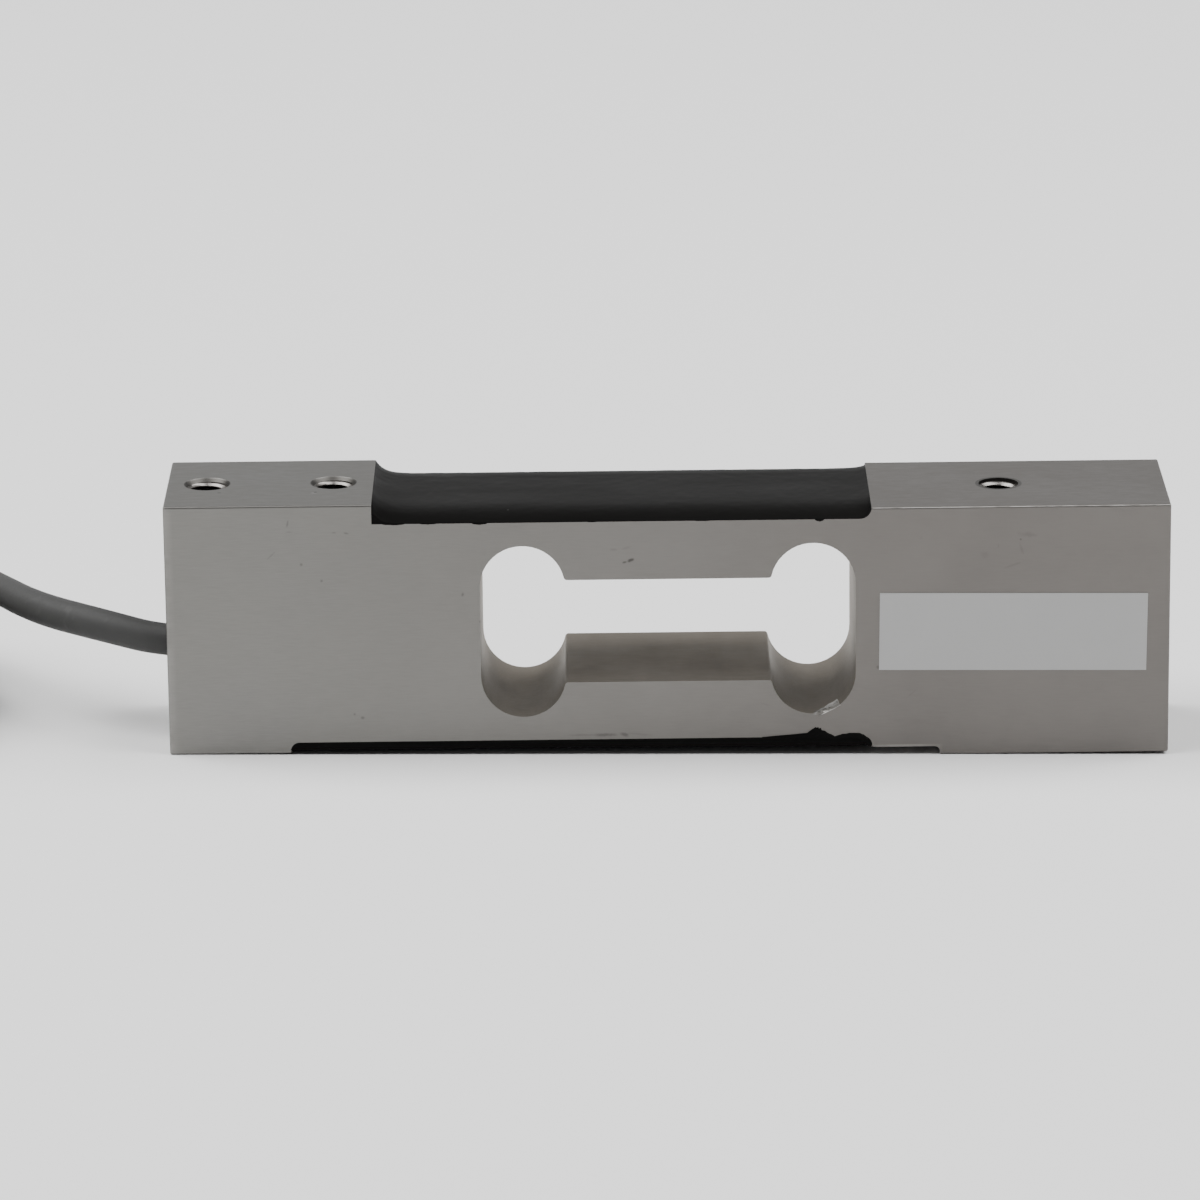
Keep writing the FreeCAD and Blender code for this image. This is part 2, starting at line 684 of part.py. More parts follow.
# shrink sleeve over the end of the jacket, and the stripped leads
end = V(*tail_route[-1])
aim = (end - V(*tail_route[-2])).normalize()
side = aim.cross(V(0, 0, 1)).normalize()
upw = side.cross(aim).normalize()
sleeve_turn = FreeCAD.Rotation(V(0, 0, 1), aim)
sleeve_outer = doc.addObject("Part::Cylinder", "sleeve_outer")
bind(sleeve_outer, "Radius", D("sleeve_dia") / 2)
bind(sleeve_outer, "Height", D("sleeve_length"))
sleeve_outer.Placement = FreeCAD.Placement(end - aim * S.sleeve_over, sleeve_turn)
sleeve_inner = doc.addObject("Part::Cylinder", "sleeve_inner")
bind(sleeve_inner, "Radius", D("cable_dia") / 2)
bind(sleeve_inner, "Height", D("sleeve_length"))
sleeve_inner.Placement = FreeCAD.Placement(end - aim * S.sleeve_over, sleeve_turn)
sleeve = doc.addObject("Part::Cut", "lead_sleeve")
sleeve.Label = "lead_sleeve"
sleeve.Base = sleeve_outer
sleeve.Tool = sleeve_inner
parts.append(sleeve)

LEADS = [
    # name, offset across and up at the jacket's end, then where the lead lies on
    # the coil: radius, degrees round it, height above the surface
    ("lead_green", -1.2, -0.45, [(22.3, 321.0, 15.75), (21.7, 343.0, 15.55), (22.3, 364.0, 15.55)]),
    ("lead_red", -0.68, 1.05, [(24.1, 323.0, 16.7), (23.3, 345.0, 15.75), (24.0, 368.0, 15.55)]),
    ("lead_black", 0.0, -0.8, [(25.8, 321.0, 15.75), (25.0, 344.0, 15.55), (25.7, 362.0, 15.55)]),
    ("lead_white", 0.68, 1.05, [(27.5, 322.0, 16.7), (26.8, 343.0, 15.75), (27.5, 366.0, 15.55)]),
    ("lead_shield", 1.2, -0.45, [(28.9, 319.0, 15.75), (28.6, 338.0, 15.55), (29.0, 357.0, 15.55)]),
]
tips = []
for name, across, up, fan in LEADS:
    pts = [end + side * across + upw * up, end + side * across + upw * up + aim * 6.2]
    for radius, degrees, height in fan:
        pts.append(V(*on_coil(radius, degrees, height)))
    pts = [(p.x, p.y, p.z) for p in pts]
    tube(name, pts, S.lead_dia, report=False)
    print(name, [(round(p[0], 2), round(p[1], 2), round(p[2], 2)) for p in pts])
    last, way = V(*pts[-1]), (V(*pts[-1]) - V(*pts[-2])).normalize()
    tip = doc.addObject("Part::Cylinder", name + "_tip")
    tip.Label = name + "_tip"
    bind(tip, "Radius", D("tip_dia") / 2)
    tip.Height = 5.0
    tip.Placement = FreeCAD.Placement(last, FreeCAD.Rotation(V(0, 0, 1), way))
    tips.append(tip)
tinned = doc.addObject("Part::Compound", "tinned_tips")
tinned.Label = "tinned_tips"
tinned.Links = tips
parts.append(tinned)


# ------------------------------------------------------------------- potting
def edges_along_x(shape, y, z):
    return edges_where(shape, lambda p, q: near(p.z, z) and near(q.z, z)
                       and near(abs(p.y), y) and near(p.y, q.y))


pt = new_body("potting_top_blank")
sk = new_sketch(pt, "potting_top_side", "XZ_Plane")
top_z = FLOOR + D("potting_rise")
outline(sk, [
    (D("top_pad_length") - HALF_L, FLOOR),
    (D("top_recess_right") - rt, FLOOR),
    (D("top_recess_right"), D("block_top")),
    (D("top_recess_right"), D("block_top") + 0.5),
    (D("top_pad_length") - HALF_L, D("block_top") + 0.5),
])
pad(pt, "potting_top_fill", sk, D("beam_width"), symmetric=True)
sk = new_sketch(pt, "potting_top_level", "XZ_Plane")
rectangle(sk, -HALF_L, top_z, HALF_L, top_z + 5)
pocket(pt, "potting_top_surface", sk, D("beam_width") + 4, symmetric=True)
rounded(pt, "potting_top_shoulder", lambda shape: edges_along_x(shape, W2, top_z.value),
        D("potting_shoulder"))

pb = new_body("potting_bottom_blank")
sk = new_sketch(pb, "potting_bottom_side", "XZ_Plane")
low_z = D("potting_under")
outline(sk, [
    (-left, low_z),
    (-left, roof - rb, rb, rb - left, roof - rb),
    (rb - left, roof),
    (right - rb, roof, rb, right - rb, roof - rb),
    (right, roof - rb),
    (right, low_z),
])
pad(pb, "potting_bottom_fill", sk, D("beam_width"), symmetric=True)
rounded(pb, "potting_bottom_edge", lambda shape: edges_along_x(shape, W2, low_z.value),
        D("potting_under_edge"))


def cavity_cut(label, blank, tools):
    """The fill flows round the pieces under it."""
    comp = doc.addObject("Part::Compound", label + "_pieces")
    comp.Links = tools
    cut = doc.addObject("Part::Cut", label)
    cut.Label = label
    cut.Base = blank
    cut.Tool = comp
    parts.append(cut)
    return cut


cavity_cut("potting_top", pt, [beam, g_tl, g_tr, board, zero_chip, span_chip, w_tl, w_tr] + cores + cross)
cavity_cut("potting_bottom", pb, [g_bl, g_br, strip, w_bl, w_br] + cross)

# --------------------------------------------------------------------- label
label = new_body("label")
sk = new_sketch(label, "label_outline", "XZ_Plane")
lx, lz = D("label_length") / 2, D("label_height") / 2
rectangle(sk, -lx, -lz, lx, lz)
pad(label, "label_foil", sk, D("label_thick"))
label.Placement = FreeCAD.Placement(V(0, 0, 0), FreeCAD.Rotation(V(0, 1, 0), S.label_turn))
place(label, x=D("label_centre_x"), y=-HALF_W, z=D("label_centre_z"))
label.setExpression("Placement.Rotation.Angle", "Dims.label_turn * 1deg")
parts.append(label)

# ------------------------------------------------------------ check and write
doc.recompute()
bad = [o.Name + " " + ",".join(o.State) for o in doc.Objects
       if any(s in ("Invalid", "Error") for s in o.State)]
if bad:
    raise RuntimeError("failed objects: " + "; ".join(bad))
os.makedirs("parts", exist_ok=True)
names = set()
for obj in parts:
    shape = obj.Shape
    if shape.isNull() or not shape.isValid() or not shape.Solids:
        raise RuntimeError("bad shape: " + obj.Label)
    if obj.Label in names:
        raise RuntimeError("two sub-parts named " + obj.Label)
    names.add(obj.Label)
    shape.exportStep("parts/%s.step" % obj.Label)
    b = shape.BoundBox
    print("%-26s solids %d volume %9.2f  x %7.2f %7.2f  y %6.2f %6.2f  z %6.2f %6.2f" % (
        obj.Label, len(shape.Solids), shape.Volume, b.XMin, b.XMax, b.YMin, b.YMax, b.ZMin, b.ZMax))
for old in os.listdir("parts"):
    if old.endswith(".step") and old[:-5] not in names:
        os.remove(os.path.join("parts", old))
print("sub-parts:", len(parts))
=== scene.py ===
import bpy
import bmesh
import math
import random
from mathutils import Vector, Matrix, noise


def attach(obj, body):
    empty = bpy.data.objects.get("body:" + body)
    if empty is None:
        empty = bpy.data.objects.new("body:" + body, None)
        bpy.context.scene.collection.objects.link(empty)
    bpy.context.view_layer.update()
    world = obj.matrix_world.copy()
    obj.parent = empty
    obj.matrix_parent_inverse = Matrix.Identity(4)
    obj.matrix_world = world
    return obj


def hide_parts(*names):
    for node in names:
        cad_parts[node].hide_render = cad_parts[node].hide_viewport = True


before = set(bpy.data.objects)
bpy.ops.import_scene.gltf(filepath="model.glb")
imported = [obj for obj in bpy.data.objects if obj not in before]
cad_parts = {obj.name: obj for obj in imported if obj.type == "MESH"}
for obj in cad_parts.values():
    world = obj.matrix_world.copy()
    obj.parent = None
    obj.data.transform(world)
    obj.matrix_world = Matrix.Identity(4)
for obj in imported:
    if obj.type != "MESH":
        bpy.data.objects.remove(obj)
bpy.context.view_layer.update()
MM = 0.001
scene = bpy.context.scene
rng = random.Random(7)

WORLD_FRONT, WORLD_BACK = 0.16, 1.06
LEFT_POWER, RIGHT_POWER = 46.0, 38.0
TIP_ENDS = [
    ((-113.854, 13.967, 17.29), (-112.853, 19.273, 17.284)),
    ((-112.313, 15.744, 17.279), (-111.594, 21.094, 17.159)),
    ((-110.423, 13.309, 17.251), (-109.298, 18.59, 17.237)),
    ((-108.743, 15.275, 17.238), (-107.887, 20.606, 17.129)),
    ((-107.173, 10.893, 17.211), (-105.787, 16.113, 17.194)),
]

# ------------------------------------------------------------------- camera
CAM_F, CAM_EL, CAM_ROLL, CAM_X, CAM_Z, CAM_D = 6656.0, 16.88, -0.66, -10.13, 20.15, 1012.6
e, r = math.radians(CAM_EL), math.radians(CAM_ROLL)
back = Vector((0.0, -math.cos(e), math.sin(e)))
right = Vector((1.0, 0.0, 0.0))
up = right.cross(-back)
r2 = right * math.cos(r) + up * math.sin(r)
u2 = -right * math.sin(r) + up * math.cos(r)
spot = (back * CAM_D + right * CAM_X + up * CAM_Z) * MM
cam_data = bpy.data.cameras.new("camera")
cam_data.sensor_width = 36.0
cam_data.sensor_fit = "HORIZONTAL"
cam_data.lens = 36.0 * CAM_F / 1200.0
cam_data.clip_start = 0.05
cam_data.clip_end = 20.0
cam = bpy.data.objects.new("camera", cam_data)
scene.collection.objects.link(cam)
cam.matrix_world = Matrix((
    (r2.x, u2.x, back.x, spot.x), (r2.y, u2.y, back.y, spot.y),
    (r2.z, u2.z, back.z, spot.z), (0, 0, 0, 1)))
scene.camera = cam


# ---------------------------------------------------------------- materials
class Nodes:
    """A small helper that adds and joins shader nodes."""

    def __init__(self, name):
        self.mat = bpy.data.materials.new(name)
        self.mat.use_nodes = True
        self.tree = self.mat.node_tree
        self.tree.nodes.clear()
        self.out = self.tree.nodes.new("ShaderNodeOutputMaterial")
        self.bsdf = self.tree.nodes.new("ShaderNodeBsdfPrincipled")
        self.tree.links.new(self.bsdf.outputs[0], self.out.inputs[0])

    def add(self, kind, **values):
        n = self.tree.nodes.new(kind)
        for k, v in values.items():
            setattr(n, k, v)
        return n

    def link(self, a, b):
        self.tree.links.new(a, b)

    def set(self, **values):
        for k, v in values.items():
            self.bsdf.inputs[k.replace("_", " ")].default_value = v

    def coords(self, scale=(1.0, 1.0, 1.0), turn=(0.0, 0.0, 0.0)):
        """Object coordinates in metres, stretched."""
        c = self.add("ShaderNodeTexCoord")
        m = self.add("ShaderNodeMapping")
        m.inputs["Scale"].default_value = scale
        m.inputs["Rotation"].default_value = turn
        self.link(c.outputs["Object"], m.inputs["Vector"])
        return m.outputs["Vector"]

    def noise(self, vec, scale, detail=3.0, rough=0.55, dist=0.0):
        n = self.add("ShaderNodeTexNoise")
        n.inputs["Scale"].default_value = scale
        n.inputs["Detail"].default_value = detail
        n.inputs["Roughness"].default_value = rough
        n.inputs["Distortion"].default_value = dist
        self.link(vec, n.inputs["Vector"])
        return n.outputs["Fac"]

    def ramp(self, fac, stops):
        n = self.add("ShaderNodeValToRGB")
        el = n.color_ramp.elements
        el[0].position, el[0].color = stops[0][0], (*stops[0][1], 1.0)
        el[1].position, el[1].color = stops[-1][0], (*stops[-1][1], 1.0)
        for pos, col in stops[1:-1]:
            x = el.new(pos)
            x.color = (*col, 1.0)
        self.link(fac, n.inputs["Fac"])
        return n.outputs["Color"]

    def span(self, fac, a, b, lo, hi):
        n = self.add("ShaderNodeMapRange")
        for k, v in (("From Min", a), ("From Max", b), ("To Min", lo), ("To Max", hi)):
            n.inputs[k].default_value = v
        self.link(fac, n.inputs["Value"])
        return n.outputs["Result"]

    def math(self, op, a, b=None):
        n = self.add("ShaderNodeMath", operation=op)
        for i, x in enumerate((a, b)):
            if x is None:
                continue
            if isinstance(x, (int, float)):
                n.inputs[i].default_value = x
            else:
                self.link(x, n.inputs[i])
        return n.outputs[0]

    def mix(self, fac, a, b, mode="MIX"):
        n = self.add("ShaderNodeMix", data_type="RGBA", blend_type=mode)
        ins = {0: fac, 6: a, 7: b}
        for i, x in ins.items():
            if isinstance(x, (int, float)):
                n.inputs[i].default_value = x
            elif isinstance(x, tuple):
                n.inputs[i].default_value = (*x, 1.0)
            else:
                self.link(x, n.inputs[i])
        return n.outputs[2]

    def bump(self, height, strength, distance, normal=None):
        n = self.add("ShaderNodeBump")
        n.inputs["Strength"].default_value = strength
        n.inputs["Distance"].default_value = distance
        self.link(height, n.inputs["Height"])
        if normal is not None:
            self.link(normal, n.inputs["Normal"])
        return n.outputs["Normal"]

    def to(self, name, socket):
        self.link(socket, self.bsdf.inputs[name])


def plain(name, a, b, rough, scale=300.0, metal=0.0, bump=0.2, size=0.0001):
    """A quiet material: two close colours in a fine noise, with a little bump."""
    m = Nodes(name)
    v = m.coords()
    n = m.noise(v, scale, 4.0)
    m.to("Base Color", m.ramp(n, [(0.3, a), (0.7, b)]))
    m.set(Metallic=metal)
    m.to("Roughness", m.span(m.noise(v, scale * 0.4, 2.0), 0.3, 0.7, rough - 0.06, rough + 0.06))
    m.to("Normal", m.bump(n, bump, size))
    return m.mat


def place_mask(m, centre, half_x, half_z, turn=0.0, soft=0.35, ragged=0.0, scale=900.0):
    """A mask that is 1 in an ellipse of the XZ plane round a point in metres."""
    c = m.add("ShaderNodeTexCoord")
    mp = m.add("ShaderNodeMapping", vector_type="TEXTURE")
    mp.inputs["Location"].default_value = (centre[0] * MM, 0.0, centre[1] * MM)
    mp.inputs["Rotation"].default_value = (0.0, turn, 0.0)
    mp.inputs["Scale"].default_value = (half_x * MM, 1000.0, half_z * MM)
    m.link(c.outputs["Object"], mp.inputs["Vector"])
    ln = m.add("ShaderNodeVectorMath", operation="LENGTH")
    m.link(mp.outputs["Vector"], ln.inputs[0])
    out = ln.outputs["Value"]
    if ragged:
        n = m.noise(m.coords(), scale, 3.0)
        out = m.math("ADD", out, m.span(n, 0.3, 0.7, -ragged, ragged))
    return m.span(out, 1.0 - soft, 1.0 + soft, 1.0, 0.0)


def round_mask(m, x, y, radius, soft=0.02):
    """A mask that is 1 inside an upright cylinder round a point in millimetres."""
    c = m.add("ShaderNodeTexCoord")
    mp = m.add("ShaderNodeMapping", vector_type="TEXTURE")
    mp.inputs["Location"].default_value = (x * MM, y * MM, 0.0)
    mp.inputs["Scale"].default_value = (radius * MM, radius * MM, 1000.0)
    m.link(c.outputs["Object"], mp.inputs["Vector"])
    ln = m.add("ShaderNodeVectorMath", operation="LENGTH")
    m.link(mp.outputs["Vector"], ln.inputs[0])
    return m.span(ln.outputs["Value"], 1.0 - soft, 1.0 + soft, 1.0, 0.0)


def mesh_piece(name, verts, faces, mat, sharp=None, body="root"):
    """A mesh in millimetres becomes a piece that rides on the body."""
    me = bpy.data.meshes.new(name)
    me.from_pydata([(x * MM, y * MM, z * MM) for x, y, z in verts], [], faces)
    bm = bmesh.new()
    bm.from_mesh(me)
    bmesh.ops.remove_doubles(bm, verts=bm.verts, dist=1e-7)
    bmesh.ops.dissolve_degenerate(bm, dist=1e-8, edges=bm.edges)
    bmesh.ops.recalc_face_normals(bm, faces=bm.faces)
    for f in bm.faces:
        f.smooth = sharp is not None
    if sharp is not None:
        for e in bm.edges:
            if len(e.link_faces) == 2 and e.calc_face_angle(0.0) > math.radians(sharp):
                e.smooth = False
    bm.to_mesh(me)
    bm.free()
    me.materials.append(mat)
    o = bpy.data.objects.new(name, me)
    scene.collection.objects.link(o)
    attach(o, body)
    return o


def wob(x, y=0.0, z=0.0, seed=0.0):
    """Smooth noise between about -1 and 1."""
    return noise.noise(Vector((x + seed * 17.3, y - seed * 5.1, z + seed * 3.7)))


# ------------------------------------------------------- material: aluminium
def aluminium():
    m = Nodes("milled_aluminium")
    base = m.coords()
    cloud = m.noise(base, 38.0, 4.0, 0.6, 0.4)
    fine = m.noise(m.coords((1.0, 3.0, 14.0)), 420.0, 5.0, 0.65)
    grain = m.noise(m.coords((0.25, 1.0, 1.0)), 3600.0, 3.0, 0.6)
    col = m.ramp(cloud, [(0.28, (0.206, 0.203, 0.192)), (0.52, (0.220, 0.216, 0.203)), (0.75, (0.233, 0.229, 0.219))])
    col = m.mix(m.span(fine, 0.30, 0.72, 0.0, 0.22), col, (0.176, 0.171, 0.161))
    # painted shade: a little warmer and darker towards the label end, as if less lit there
    sep = m.add("ShaderNodeSeparateXYZ")
    tc = m.add("ShaderNodeTexCoord")
    m.link(tc.outputs["Object"], sep.inputs[0])
    px, py, pz = sep.outputs
    col = m.mix(m.span(px, -0.06, 0.035, 0.0, 0.90), col, (0.170, 0.159, 0.149))
    # inside the bores and the window: a brown cut finish, with painted shade that darkens the walls towards the front
    # face
    in_y = m.span(m.math("ABSOLUTE", py), 0.01245, 0.01249, 1.0, 0.0)
    in_x = m.span(m.math("ABSOLUTE", px), 0.0282, 0.0284, 1.0, 0.0)
    mid = m.math("ABSOLUTE", m.math("SUBTRACT", pz, 0.020))
    in_z = m.span(mid, 0.01345, 0.01355, 1.0, 0.0)
    inside = m.math("MULTIPLY", m.math("MULTIPLY", in_x, in_y), in_z)
    rings = m.noise(m.coords((9.0, 1.6, 9.0)), 26.0, 3.0, 0.5)
    bore = m.ramp(rings, [(0.3, (0.255, 0.228, 0.192)), (0.7, (0.292, 0.263, 0.224))])
    bore = m.mix(m.span(py, -0.0125, 0.003, 0.55, 0.0), bore, (0.118, 0.104, 0.085))
    col = m.mix(inside, col, bore)
    # grey smudges, small dark pits and short scratches on the front face
    marks = None
    for centre, hx, hz, turn, strength in (
            ((-9.64, 3.68), 1.5, 0.22, 0.0, 0.42), ((-6.68, 3.68), 0.6, 0.24, 0.2, 0.42),
            ((-12.99, 3.70), 1.8, 0.16, 0.0, 0.20), ((-4.21, 3.70), 1.5, 0.13, 0.1, 0.12),
            ((53.68, 34.27), 1.2, 0.32, 0.1, 0.15), ((52.62, 33.54), 0.14, 0.14, 0.0, 0.35),
            ((52.73, 32.11), 0.75, 0.20, 1.25, 0.13), ((47.37, 31.24), 0.55, 0.5, 0.0, 0.10),
            ((51.48, 29.56), 1.0, 0.16, -0.35, 0.12), ((49.27, 32.62), 0.10, 0.3, 0.0, 0.12),
            ((-56.48, 37.27), 0.12, 0.5, 0.2, 0.32), ((-56.28, 35.95), 0.45, 0.10, 0.0, 0.16),
            ((-49.60, 35.77), 0.30, 0.11, 0.0, 0.30), ((-47.79, 35.66), 0.30, 0.11, 0.25, 0.34),
            ((-51.6, 28.31), 0.18, 0.18, 0.0, 0.42), ((-27.9, 21.72), 0.22, 0.24, 0.0, 0.8),
            ((-30.6, 26.0), 0.20, 0.26, 0.3, 0.45), ((-45.9, 6.8), 0.26, 0.2, 0.0, 0.45),
            ((-47.1, 7.4), 0.16, 0.16, 0.0, 0.4), ((-6.40, 30.70), 0.32, 0.15, -0.2, 0.62),
            ((-5.50, 30.98), 0.45, 0.22, -0.35, 0.75), ((-8.02, 32.64), 0.45, 0.16, 0.0, 0.16),
            ((-6.20, 32.89), 0.60, 0.15, -0.2, 0.14), ((-58.96, 32.4), 0.75, 0.10, -0.75, 0.20),
            ((14.5, 8.2), 0.7, 0.09, 0.3, 0.12), ((36.4, 9.6), 0.9, 0.08, -0.7, 0.10)):
        one = m.math("MULTIPLY", place_mask(m, centre, hx, hz, turn, 0.55, 0.35, 1500.0), strength)
        marks = one if marks is None else m.math("MAXIMUM", marks, one)
    front = m.span(py, -0.0124, -0.01235, 1.0, 0.0)
    marks = m.math("MULTIPLY", marks, front)
    col = m.mix(marks, col, (0.045, 0.043, 0.040))
    # painted shade darkens the countersinks of the top holes
    sink_shade = None
    for hole in (-69.0, -50.0, 50.0):
        one = round_mask(m, hole, 0.0, 3.5)
        sink_shade = one if sink_shade is None else m.math("MAXIMUM", sink_shade, one)
    sink_shade = m.math("MULTIPLY", sink_shade, m.span(pz, 0.0369, 0.0370, 0.0, 0.85))
    col = m.mix(sink_shade, col, (0.060, 0.057, 0.053))
    on_top = m.span(pz, 0.03985, 0.03990, 0.0, 1.0)
    # painted highlight ring round a painted shadow: a small dent on the left pad's top
    dent_glint = m.math("MULTIPLY", m.math("MULTIPLY", round_mask(m, -52.75, -5.6, 0.42, 0.25), on_top), 0.45)
    col = m.mix(dent_glint, col, (0.42, 0.41, 0.40))
    dent_shade = m.math("MULTIPLY", m.math("MULTIPLY", round_mask(m, -52.54, -5.2, 0.26, 0.2), on_top), 0.9)
    col = m.mix(dent_shade, col, (0.020, 0.019, 0.018))
    # painted shade: the left pad's top face a little darker
    col = m.mix(m.math("MULTIPLY", on_top, 0.35), col, (0.170, 0.167, 0.161))
    # painted shade along the left pad's rounded top front edge
    corner = m.math("SUBTRACT", pz, py)
    left_edge_shade = m.math("MULTIPLY", m.span(corner, 0.05215, 0.05222, 0.0, 0.42), m.span(px, -0.0440, -0.0442, 0.0, 1.0))
    col = m.mix(left_edge_shade, col, (0.105, 0.102, 0.096))
    # painted highlights along edges: the right block's top, the left end, the step underneath
    highlight_breaks = m.span(m.noise(m.coords(), 260.0, 2.0), 0.38, 0.55, 0.25, 1.0)
    right_top = m.math("MULTIPLY", m.span(pz, 0.03850, 0.03858, 0.0, 0.8), m.span(px, 0.0304, 0.0308, 0.0, 1.0))
    left_end = m.span(px, -0.0736, -0.0747, 0.0, 0.16)
    step = m.math("MULTIPLY", m.span(pz, 0.0017, 0.0015, 0.0, 0.34),
                  m.math("MULTIPLY", m.span(px, 0.0308, 0.0314, 0.0, 1.0), m.span(px, 0.0412, 0.0406, 0.0, 1.0)))
    edge_highlight = m.math("MAXIMUM", right_top, m.math("MAXIMUM", left_end, step))
    edge_highlight = m.math("MULTIPLY", m.math("MULTIPLY", edge_highlight, front), highlight_breaks)
    col = m.mix(edge_highlight, col, (0.50, 0.49, 0.47))
    # random tiny pits everywhere
    v = m.add("ShaderNodeTexVoronoi", feature="F1")
    v.inputs["Scale"].default_value = 170.0
    m.link(m.coords(), v.inputs["Vector"])
    pit = m.span(v.outputs["Distance"], 0.035, 0.06, 0.5, 0.0)
    pit = m.math("MULTIPLY", pit, m.span(m.noise(base, 55.0, 2.0), 0.52, 0.62, 0.0, 1.0))
    col = m.mix(pit, col, (0.07, 0.067, 0.06))
    m.to("Base Color", col)
    m.set(Metallic=1.0)
    rough = m.math("ADD", m.span(cloud, 0.3, 0.7, 0.40, 0.50), m.span(fine, 0.3, 0.7, -0.03, 0.05))
    rough = m.math("ADD", rough, m.math("MULTIPLY", inside, 0.12))
    m.to("Roughness", rough)
    h = m.math("ADD", m.math("MULTIPLY", grain, 0.5), m.math("MULTIPLY", fine, 0.5))
    h = m.math("SUBTRACT", h, m.math("MULTIPLY", m.math("MAXIMUM", marks, pit), 1.2))
    m.to("Normal", m.bump(h, 0.22, 0.00004))
    return m.mat


def thread_metal(name, mouths):
    """Cut metal, bright at the mouth and painted darker further in, as shade deep in the hole.  mouths are heights in
    metres, each with the direction from it into the hole."""
    m = Nodes(name)
    n = m.noise(m.coords(), 1500.0, 3.0)
    col = m.ramp(n, [(0.3, (0.19, 0.18, 0.17)), (0.7, (0.31, 0.295, 0.28))])
    sep = m.add("ShaderNodeSeparateXYZ")
    m.link(m.coords(), sep.inputs[0])
    depth = None
    for level, way in mouths:
        one = m.math("MULTIPLY", m.math("SUBTRACT", sep.outputs[2], level), way)
        depth = one if depth is None else m.math("MINIMUM", depth, one)
    shade_jitter = m.span(n, 0.3, 0.7, -0.00012, 0.00012)
    # painted shade: darker deeper in the hole
    deep = m.span(m.math("ADD", depth, shade_jitter), 0.00055, 0.0011, 0.0, 0.96)
    m.to("Base Color", m.mix(deep, col, (0.022, 0.020, 0.018)))
    m.set(Metallic=1.0)
    m.to("Roughness", m.span(n, 0.3, 0.7, 0.26, 0.42))
    m.to("Normal", m.bump(n, 0.2, 0.00003))
    return m.mat


def silicone():
    m = Nodes("black_silicone")
    big = m.noise(m.coords((0.35, 1.0, 1.0)), 130.0, 4.0, 0.55, 0.5)
    small = m.noise(m.coords(), 1900.0, 3.0, 0.6)
    col = m.ramp(big, [(0.3, (0.0052, 0.0050, 0.0048)), (0.7, (0.0068, 0.0066, 0.0063))])
    dust = m.add("ShaderNodeTexVoronoi", feature="F1")
    dust.inputs["Scale"].default_value = 230.0
    m.link(m.coords(), dust.inputs["Vector"])
    speck = m.span(dust.outputs["Distance"], 0.02, 0.05, 0.55, 0.0)
    speck = m.math("MULTIPLY", speck, m.span(m.noise(m.coords(), 70.0, 2.0), 0.56, 0.64, 0.0, 1.0))
    col = m.mix(speck, col, (0.10, 0.10, 0.095))
    m.to("Base Color", col)
    m.set(Metallic=0.0, Specular_IOR_Level=0.019)
    m.to("Roughness", m.span(big, 0.3, 0.7, 0.34, 0.42))
    m.to("Normal", m.bump(m.math("ADD", m.math("MULTIPLY", small, 0.3), big), 0.25, 0.00012))
    return m.mat


def foil():
    m = Nodes("bare_foil")
    brush = m.noise(m.coords((0.15, 1.0, 9.0)), 800.0, 3.0)
    cloud = m.noise(m.coords(), 60.0, 3.0)
    col = m.ramp(cloud, [(0.3, (0.40, 0.40, 0.398)), (0.7, (0.43, 0.43, 0.428))])
    m.to("Base Color", m.mix(m.span(brush, 0.3, 0.7, 0.0, 0.18), col, (0.375, 0.375, 0.373)))
    m.set(Metallic=0.25)
    m.to("Roughness", m.span(cloud, 0.3, 0.7, 0.46, 0.54))
    m.to("Normal", m.bump(brush, 0.12, 0.00002))
    return m.mat


def jacket():
    m = Nodes("cable_jacket")
    big = m.noise(m.coords(), 90.0, 3.0)
    fine = m.noise(m.coords(), 2600.0, 3.0)
    col = m.ramp(big, [(0.3, (0.051, 0.051, 0.0505)), (0.7, (0.061, 0.061, 0.060))])
    rub = m.math("MULTIPLY", m.span(m.noise(m.coords(), 260.0, 3.0), 0.60, 0.72, 0.0, 0.35), 1.0)
    m.to("Base Color", m.mix(rub, col, (0.10, 0.10, 0.098)))
    m.set(Metallic=0.0, Specular_IOR_Level=0.22)
    m.to("Roughness", m.span(fine, 0.3, 0.7, 0.52, 0.66))
    m.to("Normal", m.bump(m.math("ADD", big, m.math("MULTIPLY", fine, 0.15)), 0.25, 0.0002))
    return m.mat


MAT_METAL = aluminium()
MAT_SILICONE = silicone()
MAT_FOIL = foil()
MAT_JACKET = jacket()

# -------------------------------------------------------------------- cable
# the route's points, as the part file has them, in millimetres
ROUTE_IN = [
    (-63, 0, 15), (-75, 0, 15), (-86.1, 4.3, 16.76),
    (-96.15, 11.5, 17.25), (-103.6, 21.5, 17.9), (-109.1, 30.4, 17.6),
    (-117.1, 36.9, 15.8), (-126.661, 40.3, 14.2811), (-136.061, 40.3, 14.3867),
]
ROUTE_OUT = [
    (-147.485, 32.5887, 14.5151), (-153.564, 27.4877, 14.5834), (-157.521, 20.6152, 15.5279),
    (-158.883, 12.8, 16.9433), (-157.49, 4.9848, 18.3277), (-153.727, -2.3321, 19.0355),
    (-147.313, -9.3861, 19.0634), (-137.395, -13.6637, 19.052), (-126.116, -12.9668, 19.0753),
]
COIL_X, COIL_Y = -136.2, 12.8
TILT = math.radians(0.6437)
REST_EDGE = 40.7


def rest_z(x):
    return (REST_EDGE - x) * math.tan(TILT)


def smooth(t):
    t = max(0.0, min(1.0, t))
    return t * t * (3.0 - 2.0 * t)


def on_coil(radius, degrees, height):
    g = math.radians(degrees)
    x, y = radius * math.cos(g), radius * math.sin(g)
    return (COIL_X + x * math.cos(TILT) + height * math.sin(TILT), COIL_Y + y,
            rest_z(COIL_X) - x * math.sin(TILT) + height * math.cos(TILT))


